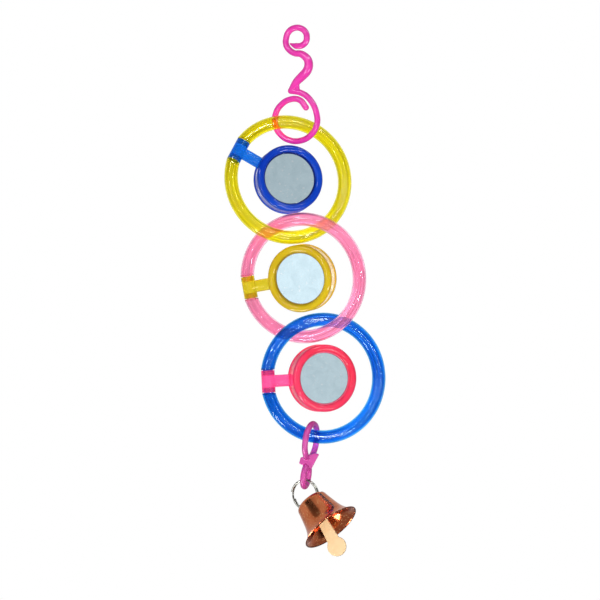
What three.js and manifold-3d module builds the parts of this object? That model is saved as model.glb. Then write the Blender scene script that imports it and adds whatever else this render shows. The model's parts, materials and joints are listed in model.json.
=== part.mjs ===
// A bird mirror chain: a hook, three linked rings that each carry a two-sided mirror on a swivelling
// holder, and a small bell that hangs on a clip and a split ring. All sizes are in millimetres.
// The chain is laid out as it is seen from the front, with x to the right, y up and z towards the
// viewer. The outer group turns that layout so that +Z is up and the viewer is on the -Y side.
// The origin is the middle of the hook's top curl, where the chain hangs.
import * as THREE from "three";
import { mergeVertices } from "three/addons/utils/BufferGeometryUtils.js";
import Module from "manifold-3d";

const wasm = await Module();
wasm.setup();

// Clearances
const FIT_GAP = 0.3; // between pieces that are fixed or turn in each other
const HANG_GAP = 0.9; // between the clip's small loop and the wire that hangs on it

// Rings
const RING_RADIUS = 27; // to the middle of the rod
const RING_ROD = 6.2;
const PIN_DIAMETER = 3.4; // the thin ends of the rod, which plug into the mirror holder
const PIN_LENGTH = 2.4;

// Mirrors and their holders
const SLEEVE_LENGTH = 10.1;
const STEM_WIDTH = 5.5; // in the ring's plane
const STEM_DEPTH = 4.7;
const OPEN_BAND = 8.4; // between the ring's rod and the drum
const DRUM_WALL = 2;
const WALL_SETBACK = 0.4; // the wall stands this far inside the bezels
const WALL_OVER_STEM = 0.25; // the wall is wider than the stem by this on each side
const MIRROR_THICKNESS = 1;
const BEZEL_WIDTH = 3.95; // the mirror shows inside it
const BEZEL_HEIGHT = 1.9;
const BEZEL_EDGE = 0.4; // straight part of the bezel's rim, under its rounded top

// Hook
const HOOK_TURN = -22; // degrees about the vertical: the right side is nearer to the viewer
const HOOK_ROD = 2.84;
const HOOK_CURL_ROD = 2.9; // at the top curl
const HOOK_NECK_ROD = 4.3; // at its thickest, in the neck
const HOOK_TIP_ROD = 1.8; // at the free end of the top curl
const CURL_START_RADIUS = 4.05; // the top curl winds outwards from its free end
const CURL_SIDE_RADIUS = 5.45; // on its left side, after one turn
const CURL_END_RADIUS = 7.15; // below its free end, where it becomes the neck
const NECK_SHIFT = 4.85; // the neck bulges this far to the right of the hang point
const NECK_DROP = 13;
const KINK_SHIFT = -3.3; // below the neck the rod turns back in a pointed kink
const KINK_GAP = 0.71; // between the kink and the large curl below it
const HOOK_LOOP_RADIUS = 9.8; // the large curl that carries the first ring
const HOOK_LOOP_DROP = 37.65; // from the hang point down to the middle of the large curl
const HOOK_LOOP_SHIFT = -0.9;

// How the rings lie: the lean of each ring's face and the play in each link
const RING_TILT = 18; // degrees between a ring's face and the viewer
const HOOK_LINK_PLAY = 3.83;
const UPPER_LINK_PLAY = 1.9;
const LOWER_LINK_PLAY = 0.8;

// Clip
const CLIP_STRAND = 2.4;
const CLIP_LEAN = -8; // degrees in the picture plane
const CLIP_PLACE = -11.3; // degrees from the lowest point of the ring, to the left
const CLIP_PLAY = 1; // between the large loop and the ring's rod
const CLIP_LOOP_WIDTH = 15.4; // between strand middles
const CLIP_LOOP_TURN = 70; // degrees about the clip's own length
const CLIP_LOOP_BOTTOM = 10.3; // from the ring's rod down to where the loop meets the collar
const CLIP_COLLAR = 3.4; // from the bottom of the large loop to the top of the small one
const CLIP_EYE_WIDTH = 8.6; // the small lower loop, between strand middles
const CLIP_EYE_HEIGHT = 9.6;
const CLIP_EYE_TURN = 74;
const COLLAR_WIDTH = 7.4;
const COLLAR_HEIGHT = 6.3;
const COLLAR_DEPTH = 5;

// Split ring
const SPLIT_RADIUS = 6.4; // to the middle of the wire
const SPLIT_WIRE = 0.75;
const SPLIT_PITCH = 1.2; // along the coil's axis, for each turn
const SPLIT_TURNS = 1.92;
const SPLIT_START = 155; // degrees: where the outer end of the wire lies

// Bell and clapper
const BELL_HEIGHT = 16.8;
const BELL_MOUTH = 28.4;
const BELL_CROWN = 15.6;
const BELL_SHOULDER = 2.6; // height of the rounded edge between crown and waist
const BELL_WALL = 0.8;
const BELL_LEAN = 38.5; // degrees in the picture plane
const BELL_TIP = -20; // degrees: the mouth tips towards the viewer
const BELL_SPIN = -26; // degrees about its own axis, with the split ring
const CROWN_ABOVE = 3.5; // the split ring's middle stands this far above the crown
const CROWN_HOLE = 3.8;
const CLAPPER_LENGTH = 21.4; // from the eye to the middle of the round end
const CLAPPER_END = 9;
const CLAPPER_WIDTH = 4.2; // at the eye
const CLAPPER_FOOT = 5.8; // where the blade meets the round end
const CLAPPER_THICKNESS = 1.4;
const CLAPPER_EYE = 4.4;
const CLAPPER_DROP = 1.15; // the eye's middle hangs this far below the wire
const CLAPPER_RIM = 0.7; // width of the eye's rim
const CLAPPER_LEAN = -10; // degrees from the bell's axis, along the split ring
const CLAPPER_TURN = 14; // degrees about its own length, which faces the blade to the viewer

// Facets
const ROD_SIDES = 12;
const RING_STEPS = 48;
const DRUM_SIDES = 32;
const BELL_SIDES = 36;
const THIN_SIDES = 8;

const degrees = THREE.MathUtils.degToRad;

// Colours
const plastic = (color) => new THREE.MeshStandardMaterial({ color, roughness: 0.2, metalness: 0 });
const metal = (color, roughness) => new THREE.MeshStandardMaterial({ color, roughness, metalness: 1 });
const magenta = plastic(0xf03caf);
const clipPink = plastic(0xd750aa);
const yellow = plastic(0xe1d223);
const pink = plastic(0xfa82af);
const blue = plastic(0x1464e6);
const deepBlue = plastic(0x1946cd);
const amber = plastic(0xdcb919);
const red = plastic(0xff3c64);
const cream = plastic(0xfad9a3);
const silvered = metal(0xb4cdd7, 0.05);
const steel = metal(0xb8b8b4, 0.3);
const copper = metal(0xb95532, 0.2);

// Solids: a closed geometry as a manifold, and back
function solidOf(geometry) {
  const bare = geometry.clone();
  bare.deleteAttribute("normal");
  bare.deleteAttribute("uv");
  const merged = mergeVertices(bare, 1e-4);
  return new wasm.Manifold(
    new wasm.Mesh({
      numProp: 3,
      vertProperties: new Float32Array(merged.attributes.position.array),
      triVerts: new Uint32Array(merged.index.array),
    }),
  );
}

function geometryOf(solid) {
  const { vertProperties, triVerts } = solid.getMesh();
  const geometry = new THREE.BufferGeometry();
  geometry.setAttribute("position", new THREE.BufferAttribute(vertProperties, 3));
  geometry.setIndex(new THREE.BufferAttribute(triVerts, 1));
  geometry.computeVertexNormals();
  return geometry;
}

const join = (...pieces) => geometryOf(pieces.map(solidOf).reduce((all, next) => all.add(next)));
const cut = (piece, ...tools) =>
  geometryOf(tools.map(solidOf).reduce((left, tool) => left.subtract(tool), solidOf(piece)));

// A piece turned on a lathe about y, from [radius, height] pairs that close on themselves or on the axis
function turned(pairs, sides) {
  const profile = pairs.map(([radius, height]) => new THREE.Vector2(radius, height));
  if (THREE.ShapeUtils.area(profile) < 0) profile.reverse();
  const closesOnAxis = profile[0].x === 0 && profile.at(-1).x === 0;
  if (!closesOnAxis) profile.push(profile[0].clone());
  return new THREE.LatheGeometry(profile, sides);
}

// A round rod along a curve, with a radius for each share of its length and domed ends.
// across is a direction that the curve never runs along.
function rod(curve, radiusAt, steps, sides, across) {
  const rings = [];
  const domeSteps = [0.5, 0.85];
  for (let i = 0; i <= steps; i++) {
    const share = i / steps;
    const middle = curve.getPointAt(share);
    const along = curve.getTangentAt(share);
    const radius = radiusAt(share);
    const dome = domeSteps.map((sine) => ({
      middle: middle.clone().addScaledVector(along, (i ? 1 : -1) * sine * radius),
      along,
      radius: radius * Math.sqrt(1 - sine * sine),
    }));
    const plain = { middle, along, radius };
    if (i === 0) rings.push(...dome.reverse(), plain);
    else if (i === steps) rings.push(plain, ...dome);
    else rings.push(plain);
  }
  const positions = [];
  for (const { middle, along, radius } of rings) {
    const side = across.clone().cross(along).normalize();
    const other = along.clone().cross(side);
    for (let k = 0; k < sides; k++) {
      const angle = (2 * Math.PI * k) / sides;
      const point = middle.clone();
      point.addScaledVector(side, radius * Math.cos(angle));
      point.addScaledVector(other, radius * Math.sin(angle));
      positions.push(...point);
    }
  }
  const tip = (ring, radius, sign) => ring.middle.clone().addScaledVector(ring.along, sign * radius * 0.3);
  positions.push(...tip(rings[0], rings[0].radius, -1), ...tip(rings.at(-1), rings.at(-1).radius, 1));
  const firstTip = rings.length * sides;
  const lastRing = (rings.length - 1) * sides;
  const index = [];
  for (let k = 0; k < sides; k++) {
    const next = (k + 1) % sides;
    for (let start = 0; start < lastRing; start += sides) {
      index.push(start + k, start + next, start + sides + next);
      index.push(start + k, start + sides + next, start + sides + k);
    }
    index.push(firstTip, next, k);
    index.push(firstTip + 1, lastRing + k, lastRing + next);
  }
  const geometry = new THREE.BufferGeometry();
  geometry.setAttribute("position", new THREE.Float32BufferAttribute(positions, 3));
  geometry.setIndex(index);
  geometry.computeVertexNormals();
  return geometry;
}

function mesh(name, geometry, material) {
  const made = new THREE.Mesh(geometry, material);
  made.name = name;
  return made;
}

// Ring: a rod bent to a circle, open where the holder's sleeve sits, with a pin on each end.
// The opening is on the +x side, and the pins lie on one line along y.
const sleeveHalf = SLEEVE_LENGTH / 2;
const ringCut = sleeveHalf + FIT_GAP;
const pinLine = Math.sqrt(RING_RADIUS ** 2 - ringCut ** 2);

function ringGeometry() {
  const hoop = new THREE.TorusGeometry(RING_RADIUS, RING_ROD / 2, ROD_SIDES, RING_STEPS);
  const gap = new THREE.BoxGeometry(2 * RING_ROD, 2 * ringCut, 2 * RING_ROD);
  gap.translate(pinLine, 0, 0);
  const pinRoot = PIN_DIAMETER / 2;
  const pins = [-1, 1].map((end) => {
    const length = PIN_LENGTH + pinRoot;
    const pin = new THREE.CylinderGeometry(PIN_DIAMETER / 2, PIN_DIAMETER / 2, length, ROD_SIDES);
    return pin.translate(pinLine, end * (ringCut - PIN_LENGTH + length / 2), 0);
  });
  return join(cut(hoop, gap), ...pins);
}

// Mirror holder: a T-shaped sleeve on the ring's pins, a stem, and a drum wall with a web across it.
// Its own origin is on the pin line, and the drum is at the ring's middle.
const drumRadius = RING_RADIUS - RING_ROD / 2 - OPEN_BAND;
const wallHalf = STEM_DEPTH / 2 + WALL_OVER_STEM;
const wallOuter = drumRadius - WALL_SETBACK;
const wallInner = wallOuter - DRUM_WALL;
const webHalf = wallHalf - MIRROR_THICKNESS - FIT_GAP;
const drumAt = (geometry) => geometry.rotateX(Math.PI / 2).translate(-pinLine, 0, 0);

function holderGeometry() {
  const socket = PIN_DIAMETER / 2 + FIT_GAP;
  const bottom = sleeveHalf - PIN_LENGTH;
  const half = [
    [0, bottom],
    [socket, bottom],
    [socket, sleeveHalf],
    [RING_ROD / 2, sleeveHalf],
  ];
  const otherHalf = half.map(([radius, height]) => [radius, -height]).reverse();
  const sleeve = turned([...half, ...otherHalf], ROD_SIDES);
  const stemLength = pinLine - socket - wallOuter + DRUM_WALL / 2;
  const stem = new THREE.CylinderGeometry(STEM_WIDTH / 2, STEM_WIDTH / 2, stemLength, ROD_SIDES);
  stem.scale(1, 1, STEM_DEPTH / STEM_WIDTH).rotateZ(Math.PI / 2).translate(-socket - stemLength / 2, 0, 0);
  const wall = turned(
    [
      [0, -webHalf],
      [wallInner, -webHalf],
      [wallInner, -wallHalf],
      [wallOuter, -wallHalf],
      [wallOuter, wallHalf],
      [wallInner, wallHalf],
      [wallInner, webHalf],
      [0, webHalf],
    ],
    DRUM_SIDES,
  );
  return join(sleeve, stem, drumAt(wall));
}

// Bezel: a ring with a rounded top that covers the mirror's edge. face is 1 in front and -1 behind.
function bezelGeometry(face) {
  const outer = drumRadius;
  const inner = outer - BEZEL_WIDTH;
  const base = wallHalf + FIT_GAP;
  const edge = base + BEZEL_EDGE;
  const pairs = [[inner, base], [outer, base]];
  const topSteps = 5;
  for (let i = 0; i <= topSteps; i++) {
    const angle = (Math.PI * i) / topSteps;
    const radius = (inner + outer) / 2 + ((outer - inner) / 2) * Math.cos(angle);
    pairs.push([radius, edge + (BEZEL_HEIGHT - BEZEL_EDGE) * Math.sin(angle)]);
  }
  return drumAt(turned(pairs.map(([radius, height]) => [radius, face * height]), DRUM_SIDES));
}

function mirrorGeometry(face) {
  const radius = wallInner - FIT_GAP;
  const disc = new THREE.CylinderGeometry(radius, radius, MIRROR_THICKNESS, DRUM_SIDES);
  return drumAt(disc.translate(0, face * (wallHalf - MIRROR_THICKNESS / 2), 0));
}

// A ring with its mirror. normal leans towards [x, y] in the picture, socket is where the sleeve sits
// in the ring's own plane, and turn swivels the mirror on its pins, all in degrees.
function ringWithMirror({ ringName, mirrorName, ringMaterial, mirrorMaterial, lean, socket, turn }) {
  const group = new THREE.Group();
  group.name = ringName;
  const tiltAxis = new THREE.Vector3(-Math.sin(degrees(lean)), Math.cos(degrees(lean)), 0);
  group.quaternion.setFromAxisAngle(tiltAxis, degrees(RING_TILT));
  const plane = new THREE.Group();
  plane.rotation.z = degrees(socket);
  plane.add(mesh(ringName, ringGeometry(), ringMaterial));
  const swivel = new THREE.Group();
  swivel.name = mirrorName;
  swivel.position.x = pinLine;
  swivel.rotation.y = degrees(turn);
  swivel.add(mesh(mirrorName + "_holder", holderGeometry(), mirrorMaterial));
  for (const [side, face] of [["front", 1], ["rear", -1]]) {
    swivel.add(mesh(`${mirrorName}_${side}_bezel`, bezelGeometry(face), mirrorMaterial));
    swivel.add(mesh(`${mirrorName}_${side}_glass`, mirrorGeometry(face), silvered));
  }
  plane.add(swivel);
  group.add(plane);
  return group;
}

// The unit vector in a ring's plane that points, in the picture, at an angle from the x axis
function inPlane(ring, angle) {
  const normal = new THREE.Vector3(0, 0, 1).applyQuaternion(ring.quaternion);
  const x = Math.cos(degrees(angle));
  const y = Math.sin(degrees(angle));
  return new THREE.Vector3(x, y, -(normal.x * x + normal.y * y) / normal.z).normalize();
}

// Hook: two bent rods that meet in a point on the left, both in one plane. Its points are given as they
// are seen from the front, and are spread to their true width in the plane that is turned away.
const hookSpread = 1 / Math.cos(degrees(HOOK_TURN));
const hookPoint = (x, y) => new THREE.Vector3(x * hookSpread, y, 0);

function spiral([x, y], startRadius, endRadius, startAngle, endAngle, count) {
  return Array.from({ length: count + 1 }, (_, i) => {
    const angle = degrees(startAngle + ((endAngle - startAngle) * i) / count);
    const radius = startRadius + ((endRadius - startRadius) * i) / count;
    return hookPoint(x + radius * Math.cos(angle), y + radius * Math.sin(angle));
  });
}

const hookLoopMiddle = [HOOK_LOOP_SHIFT, -HOOK_LOOP_DROP];
const kinkDrop = HOOK_LOOP_DROP - HOOK_LOOP_RADIUS - HOOK_ROD - KINK_GAP;

function hookGeometry() {
  const kink = hookPoint(KINK_SHIFT, -kinkDrop);
  const neck = [
    hookPoint(0.25 * NECK_SHIFT, -0.56 * NECK_DROP),
    hookPoint(0.66 * NECK_SHIFT, -0.65 * NECK_DROP),
    hookPoint(0.95 * NECK_SHIFT, -0.8 * NECK_DROP),
    hookPoint(NECK_SHIFT, -NECK_DROP),
    hookPoint(0.82 * NECK_SHIFT, -0.8 * NECK_DROP - 0.2 * kinkDrop),
    hookPoint(0.41 * NECK_SHIFT, -0.6 * NECK_DROP - 0.4 * kinkDrop),
    hookPoint(-0.12 * NECK_SHIFT, -0.37 * NECK_DROP - 0.63 * kinkDrop),
  ];
  const curlLeaving = (CURL_SIDE_RADIUS + CURL_END_RADIUS) / 2;
  const upper = new THREE.CatmullRomCurve3([
    ...spiral([0, 0], CURL_START_RADIUS, CURL_START_RADIUS, 240, 335, 3),
    ...spiral([0, 0], CURL_START_RADIUS, CURL_SIDE_RADIUS, 360, 540, 5),
    ...spiral([0, 0], curlLeaving, CURL_END_RADIUS, 571, 617, 2),
    ...neck,
    kink,
  ]);
  const lead = spiral(hookLoopMiddle, 1.29 * HOOK_LOOP_RADIUS, 1.18 * HOOK_LOOP_RADIUS, 81, 60, 1);
  const loop = spiral(hookLoopMiddle, HOOK_LOOP_RADIUS, HOOK_LOOP_RADIUS, 12, -255, 9);
  const loopEnd = spiral(hookLoopMiddle, 0.94 * HOOK_LOOP_RADIUS, 0.74 * HOOK_LOOP_RADIUS, -281, -309, 1);
  const lower = new THREE.CatmullRomCurve3([kink, ...lead, ...loop, ...loopEnd]);
  const web = new THREE.LineCurve3(neck.at(-1), hookPoint(0.06 * KINK_SHIFT, -kinkDrop));
  const swelling = (share) => Math.sin((Math.PI * Math.max(0, share - 0.6)) / 0.4);
  const upperRadius = (share) => {
    const tip = HOOK_TIP_ROD + (HOOK_CURL_ROD - HOOK_TIP_ROD) * Math.min(1, share / 0.2);
    const thin = share < 0.8 ? tip : HOOK_ROD;
    return (thin + (HOOK_NECK_ROD - thin) * swelling(share)) / 2;
  };
  const outOfPlane = new THREE.Vector3(0, 0, 1);
  return join(
    rod(upper, upperRadius, 48, THIN_SIDES, outOfPlane),
    rod(web, () => 0.39 * HOOK_ROD, 4, THIN_SIDES, outOfPlane),
    rod(lower, () => HOOK_ROD / 2, 44, THIN_SIDES, outOfPlane),
  );
}

// Clip: a large loop round the ring's rod, a wedge-shaped collar and a small loop, in one piece.
// Its own origin is the middle of the ring's rod.
const clipTop = RING_ROD / 2 + CLIP_PLAY + CLIP_STRAND / 2;
const eyeTop = -CLIP_LOOP_BOTTOM - CLIP_COLLAR;
const eyeBottom = eyeTop - CLIP_EYE_HEIGHT;

function loopGeometry(width, top, bottom, turn, steps) {
  const hoop = new THREE.TorusGeometry(width / 2, CLIP_STRAND / 2, THIN_SIDES, steps);
  const height = top - bottom;
  const positions = hoop.attributes.position;
  const stretch = (height - width) / 2;
  for (let i = 0; i < positions.count; i++) {
    const y = positions.getY(i);
    positions.setY(i, y + stretch * Math.sin((Math.PI / 2) * THREE.MathUtils.clamp((2 * y) / width, -1, 1)));
  }
  return hoop.translate(0, (top + bottom) / 2, 0).rotateY(degrees(turn));
}

function clipGeometry() {
  const middle = (eyeTop - CLIP_LOOP_BOTTOM) / 2;
  const corners = [[-0.46, -0.19], [0.24, -0.41], [0.54, 0.56], [0.32, 0.59], [-0.42, 0.19]];
  const outline = new THREE.Shape(
    corners.map(([x, y]) => new THREE.Vector2(x * COLLAR_WIDTH, middle + y * COLLAR_HEIGHT)),
  );
  const collar = new THREE.ExtrudeGeometry(outline, { depth: COLLAR_DEPTH, bevelEnabled: false });
  collar.translate(0, 0, -COLLAR_DEPTH / 2);
  return join(
    loopGeometry(CLIP_LOOP_WIDTH, clipTop, -CLIP_LOOP_BOTTOM, CLIP_LOOP_TURN, 32),
    collar,
    loopGeometry(CLIP_EYE_WIDTH, eyeTop, eyeBottom, CLIP_EYE_TURN, 24),
  );
}

// Split ring: one wire wound in a coil about z
class Coil extends THREE.Curve {
  getPoint(share, point = new THREE.Vector3()) {
    const angle = degrees(SPLIT_START) + 2 * Math.PI * SPLIT_TURNS * share;
    const height = SPLIT_PITCH * SPLIT_TURNS * (share - 0.5);
    return point.set(SPLIT_RADIUS * Math.cos(angle), SPLIT_RADIUS * Math.sin(angle), height);
  }
}

function splitRingGeometry() {
  const coil = new Coil();
  const pointsPerTurn = 90;
  const points = coil.getSpacedPoints(Math.round(pointsPerTurn * SPLIT_TURNS));
  let least = Infinity;
  points.forEach((point, i) => {
    for (const other of points.slice(i + pointsPerTurn / 2)) least = Math.min(least, point.distanceTo(other));
  });
  console.log(`split_ring: least gap to itself ${(least - SPLIT_WIRE).toFixed(2)} mm`);
  const steps = Math.round(24 * SPLIT_TURNS);
  return rod(coil, () => SPLIT_WIRE / 2, steps, 6, new THREE.Vector3(0, 0, 1));
}

// Bell: a turned shell with two holes in its crown. Its own origin is the top of the crown, and its
// mouth is at -y. The waist follows the crown and the mouth.
function bellGeometry() {
  const crown = BELL_CROWN / 2;
  const flare = BELL_MOUTH / 2 - crown;
  const outside = [
    [0, 0],
    [crown - 0.77 * BELL_SHOULDER, -0.08 * BELL_SHOULDER],
    [crown - 0.19 * BELL_SHOULDER, -0.38 * BELL_SHOULDER],
    [crown, -BELL_SHOULDER],
  ];
  const sideSteps = 6;
  for (let i = 1; i <= sideSteps; i++) {
    const share = i / sideSteps;
    const height = -BELL_SHOULDER - (BELL_HEIGHT - BELL_SHOULDER) * share;
    outside.push([crown + flare * (0.5 * share + 0.5 * share ** 5), height]);
  }
  const inside = outside
    .map(([radius, height]) => [Math.max(0, radius - BELL_WALL), Math.max(-BELL_HEIGHT, height - BELL_WALL)])
    .reverse();
  const shell = turned([...outside, ...inside], BELL_SIDES);
  const holeReach = Math.sqrt(SPLIT_RADIUS ** 2 - (CROWN_ABOVE + BELL_WALL / 2) ** 2);
  const holes = [-1, 1].map((side) => {
    const hole = new THREE.CylinderGeometry(CROWN_HOLE / 2, CROWN_HOLE / 2, 4 * BELL_WALL, ROD_SIDES);
    return hole.translate(side * holeReach, -BELL_WALL / 2, 0);
  });
  return cut(shell, ...holes);
}

// Clapper: a flat paddle with a round end below and, turned a quarter round, an eye on the split ring
function clapperGeometry() {
  const half = CLAPPER_WIDTH / 2;
  const foot = CLAPPER_FOOT / 2;
  const endRadius = CLAPPER_END / 2;
  const spread = Math.asin(foot / endRadius);
  const neckTop = -CLAPPER_EYE / 2 - CLAPPER_RIM / 2;
  const outline = new THREE.Shape();
  outline.moveTo(-half, neckTop);
  outline.lineTo(-foot, -CLAPPER_LENGTH + endRadius * Math.cos(spread));
  outline.absarc(0, -CLAPPER_LENGTH, endRadius, Math.PI / 2 + spread, Math.PI / 2 - spread, false);
  outline.lineTo(half, neckTop);
  const blade = new THREE.ExtrudeGeometry(outline, {
    depth: CLAPPER_THICKNESS,
    bevelEnabled: false,
    curveSegments: 18,
  });
  blade.translate(0, 0, -CLAPPER_THICKNESS / 2);
  const inner = CLAPPER_EYE / 2;
  const outer = inner + CLAPPER_RIM;
  const thick = CLAPPER_THICKNESS / 2;
  const eye = turned([[inner, -thick], [outer, -thick], [outer, thick], [inner, thick]], 16);
  return join(blade, eye.rotateZ(Math.PI / 2));
}

// The chain, from the hook down
const chain = new THREE.Group();
const hook = new THREE.Group();
hook.rotation.y = degrees(HOOK_TURN);
hook.add(mesh("hanger_hook", hookGeometry(), magenta));
chain.add(hook);

const rings = [
  {
    ringName: "yellow_ring",
    mirrorName: "blue_mirror",
    ringMaterial: yellow,
    mirrorMaterial: deepBlue,
    lean: 34.5,
    socket: 151,
    turn: 0,
    linkAngle: -99.5,
    linkGap: RING_ROD / 2 + HOOK_ROD / 2 + HOOK_LINK_PLAY,
  },
  {
    ringName: "pink_ring",
    mirrorName: "yellow_mirror",
    ringMaterial: pink,
    mirrorMaterial: amber,
    lean: 192.7,
    socket: 190,
    turn: 3,
    linkAngle: -81.2,
    linkGap: RING_ROD + UPPER_LINK_PLAY,
  },
  {
    ringName: "blue_ring",
    mirrorName: "red_mirror",
    ringMaterial: blue,
    mirrorMaterial: red,
    lean: 0,
    socket: 183,
    turn: -3,
    linkAngle: -78.8,
    linkGap: RING_ROD + LOWER_LINK_PLAY,
  },
].map((ring) => ({ ...ring, group: ringWithMirror(ring) }));

// Each ring hangs by a link: the middle of the lens between its own rod and the rod above it
const loopBottom = hookPoint(hookLoopMiddle[0], hookLoopMiddle[1] - HOOK_LOOP_RADIUS);
const link = loopBottom.add(new THREE.Vector3(0, rings[0].linkGap / 2, 0)).applyQuaternion(hook.quaternion);
rings.forEach(({ group, linkAngle, linkGap }, i) => {
  const reach = RING_RADIUS - linkGap / 2;
  if (i > 0) {
    const above = rings[i - 1].group;
    link.copy(above.position).addScaledVector(inPlane(above, linkAngle), reach);
  }
  group.position.copy(link).addScaledVector(inPlane(group, linkAngle), reach);
  chain.add(group);
});

const lastRing = rings.at(-1).group;
const clip = new THREE.Group();
clip.name = "bell_clip";
clip.position.copy(lastRing.position).addScaledVector(inPlane(lastRing, CLIP_PLACE - 90), RING_RADIUS);
clip.rotation.z = degrees(CLIP_LEAN);
clip.add(mesh("bell_clip", clipGeometry(), clipPink));
chain.add(clip);

const bell = new THREE.Group();
bell.name = "bell";
bell.rotation.set(degrees(BELL_TIP), degrees(BELL_SPIN), degrees(BELL_LEAN), "ZXY");
const wireTop = eyeBottom + CLIP_STRAND / 2 + HANG_GAP + SPLIT_WIRE / 2;
bell.position.set(0, wireTop, 0).applyQuaternion(clip.quaternion).add(clip.position);
bell.position.addScaledVector(inPlane(bell, -90), SPLIT_RADIUS);
bell.add(mesh("split_ring", splitRingGeometry(), steel));
const shell = mesh("bell_shell", bellGeometry(), copper);
shell.position.y = -CROWN_ABOVE;
const clapper = mesh("clapper", clapperGeometry(), cream);
clapper.position.y = -SPLIT_RADIUS - CLAPPER_DROP;
clapper.rotation.set(0, degrees(CLAPPER_TURN), degrees(CLAPPER_LEAN), "ZYX");
bell.add(shell, clapper);
chain.add(bell);

const part = new THREE.Group();
part.name = "bird_mirror_chain";
chain.rotation.x = Math.PI / 2;
part.add(chain);

export default part;
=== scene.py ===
import json
import math

import bpy
from mathutils import Matrix, Vector

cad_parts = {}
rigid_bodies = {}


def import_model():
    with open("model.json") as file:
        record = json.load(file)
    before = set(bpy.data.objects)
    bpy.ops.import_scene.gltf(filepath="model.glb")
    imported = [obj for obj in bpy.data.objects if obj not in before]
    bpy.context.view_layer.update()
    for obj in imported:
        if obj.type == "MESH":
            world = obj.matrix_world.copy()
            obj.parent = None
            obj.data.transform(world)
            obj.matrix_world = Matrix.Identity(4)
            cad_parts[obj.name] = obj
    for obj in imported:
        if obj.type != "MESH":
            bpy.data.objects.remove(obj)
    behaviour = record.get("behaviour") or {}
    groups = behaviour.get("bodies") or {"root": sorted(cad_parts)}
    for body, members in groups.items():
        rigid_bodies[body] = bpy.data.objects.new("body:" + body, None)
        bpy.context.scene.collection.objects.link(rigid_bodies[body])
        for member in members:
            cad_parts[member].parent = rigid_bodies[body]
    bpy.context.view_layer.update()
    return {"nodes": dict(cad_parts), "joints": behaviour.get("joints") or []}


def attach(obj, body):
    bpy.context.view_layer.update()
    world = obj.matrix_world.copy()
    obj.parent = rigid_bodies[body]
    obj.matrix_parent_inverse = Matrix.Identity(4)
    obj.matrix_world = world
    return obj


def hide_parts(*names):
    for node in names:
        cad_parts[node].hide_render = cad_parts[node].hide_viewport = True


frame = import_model()


# Hook: one piece of glossy magenta plastic, injection moulded with a small curl for the cage wire,
# a thick neck, a pointed kink and a large open curl. Nothing fixes the first ring to it: the ring
# just lies in the large curl.
MM = 0.001
HOOK_TURN = math.radians(-22)
HOOK_ROD = 2.84 * MM
HOOK_TIP_ROD = 0.8 * MM
HOOK_CURL_ROD = 2.9 * MM
HOOK_NECK_ROD = 4.3 * MM
HOOK_WEB_ROD = 0.78 * HOOK_ROD
# Points as they are seen from the front. A stretch of a curl has its radius at the start and the end,
# its angle in degrees at the start and the end, and its number of steps.
HOOK_TIP = [(-3.5 * MM, -2.6 * MM), (-2.3 * MM, -3.2 * MM), (-1.0 * MM, -3.6 * MM)]
HOOK_TIP_SHARE = 0.05
CURL_START = 4.05 * MM
CURL_SIDE = 5.45 * MM
CURL_END = 7.15 * MM
SMALL_CURL = [
    (0.94 * CURL_START, CURL_START, 285, 335, 2),
    (CURL_START, CURL_SIDE, 360, 540, 5),
    ((CURL_SIDE + CURL_END) / 2, CURL_END, 571, 617, 2),
]
HOOK_NECK = [
    (1.2 * MM, -7.3 * MM),
    (3.2 * MM, -8.5 * MM),
    (4.6 * MM, -10.4 * MM),
    (4.85 * MM, -13 * MM),
    (4.0 * MM, -15.3 * MM),
    (2.0 * MM, -17.5 * MM),
    (-0.6 * MM, -20.1 * MM),
]
HOOK_NECK_SHARE = 0.4
HOOK_KINK = (-3.3 * MM, -24.3 * MM)
HOOK_WEB_FOOT = (-0.2 * MM, -24.3 * MM)
LOOP_RADIUS = 9.8 * MM
LOOP_MIDDLE = (-0.9 * MM, -37.65 * MM)
LARGE_CURL = [
    (1.29 * LOOP_RADIUS, 1.18 * LOOP_RADIUS, 81, 60, 1),
    (LOOP_RADIUS, LOOP_RADIUS, 12, -255, 9),
    (0.94 * LOOP_RADIUS, 0.74 * LOOP_RADIUS, -281, -309, 1),
]
HOOK_GRAIN = 0.15 * MM


def pick_only(*pieces):
    """Selects these objects and nothing else, and makes the last one active."""
    bpy.ops.object.select_all(action="DESELECT")
    for piece in pieces:
        piece.select_set(True)
        bpy.context.view_layer.objects.active = piece


def apply_modifiers(piece):
    pick_only(piece)
    for name in [modifier.name for modifier in piece.modifiers]:
        bpy.ops.object.modifier_apply(modifier=name)


def set_in_place(piece, lie):
    """Carries a piece that was made at the origin to where it lies, and leaves its place in its mesh."""
    piece.matrix_world = lie
    pick_only(piece)
    bpy.ops.object.transform_apply(location=True, rotation=True, scale=True)


def bent_rod(points, radii, closed=False):
    """A round rod along a smooth line through the points, thicker or thinner from point to point."""
    bpy.ops.object.select_all(action="DESELECT")
    bpy.ops.curve.primitive_bezier_curve_add()
    rod = bpy.context.object
    line = rod.data.splines[0]
    line.bezier_points.add(len(points) - 2)
    for knot, point, radius in zip(line.bezier_points, points, radii):
        knot.co = point
        knot.radius = radius / radii[0]
        knot.handle_left_type = "AUTO"
        knot.handle_right_type = "AUTO"
    line.use_cyclic_u = closed
    rod.data.bevel_depth = radii[0]
    rod.data.bevel_resolution = 5
    rod.data.resolution_u = 10
    rod.data.use_fill_caps = not closed
    bpy.ops.object.convert(target="MESH")
    return bpy.context.object


def curl(middle, stretches):
    """Points on a curl round a middle, stretch by stretch."""
    points = []
    for start_radius, end_radius, start, end, steps in stretches:
        for i in range(steps + 1):
            share = i / steps
            angle = math.radians(start + (end - start) * share)
            radius = start_radius + (end_radius - start_radius) * share
            points.append((middle[0] + radius * math.cos(angle), middle[1] + radius * math.sin(angle)))
    return points


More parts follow.
